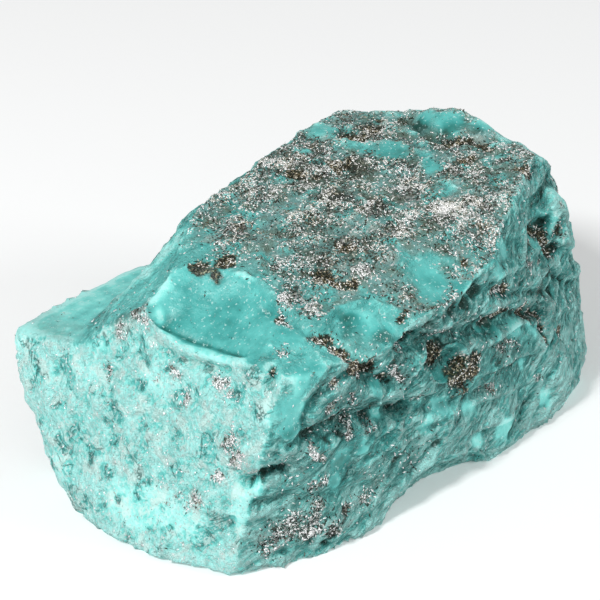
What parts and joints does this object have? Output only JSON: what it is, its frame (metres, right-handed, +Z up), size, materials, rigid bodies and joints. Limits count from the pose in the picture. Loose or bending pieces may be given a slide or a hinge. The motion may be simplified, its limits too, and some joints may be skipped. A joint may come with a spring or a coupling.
{
  "type": "raw turquoise nugget",
  "caption": "Rough broken lump of natural turquoise with a lower step at one corner, struck hollows, bedding ledges and a flat foot to rest on.",
  "frame": {"origin": "middle of the resting face, under the middle of the stone's box", "axes": "+X along the stone away from its pale broken end, -Y towards the ledged side, +Z up"},
  "size_m": [0.0671, 0.0452, 0.0293],
  "materials": {
    "turquoise": "broken, waxy to chalky, with metallic grains"
  },
  "bodies": {
    "root": {"turquoise_nugget": "turquoise"}
  },
  "joints": []
}
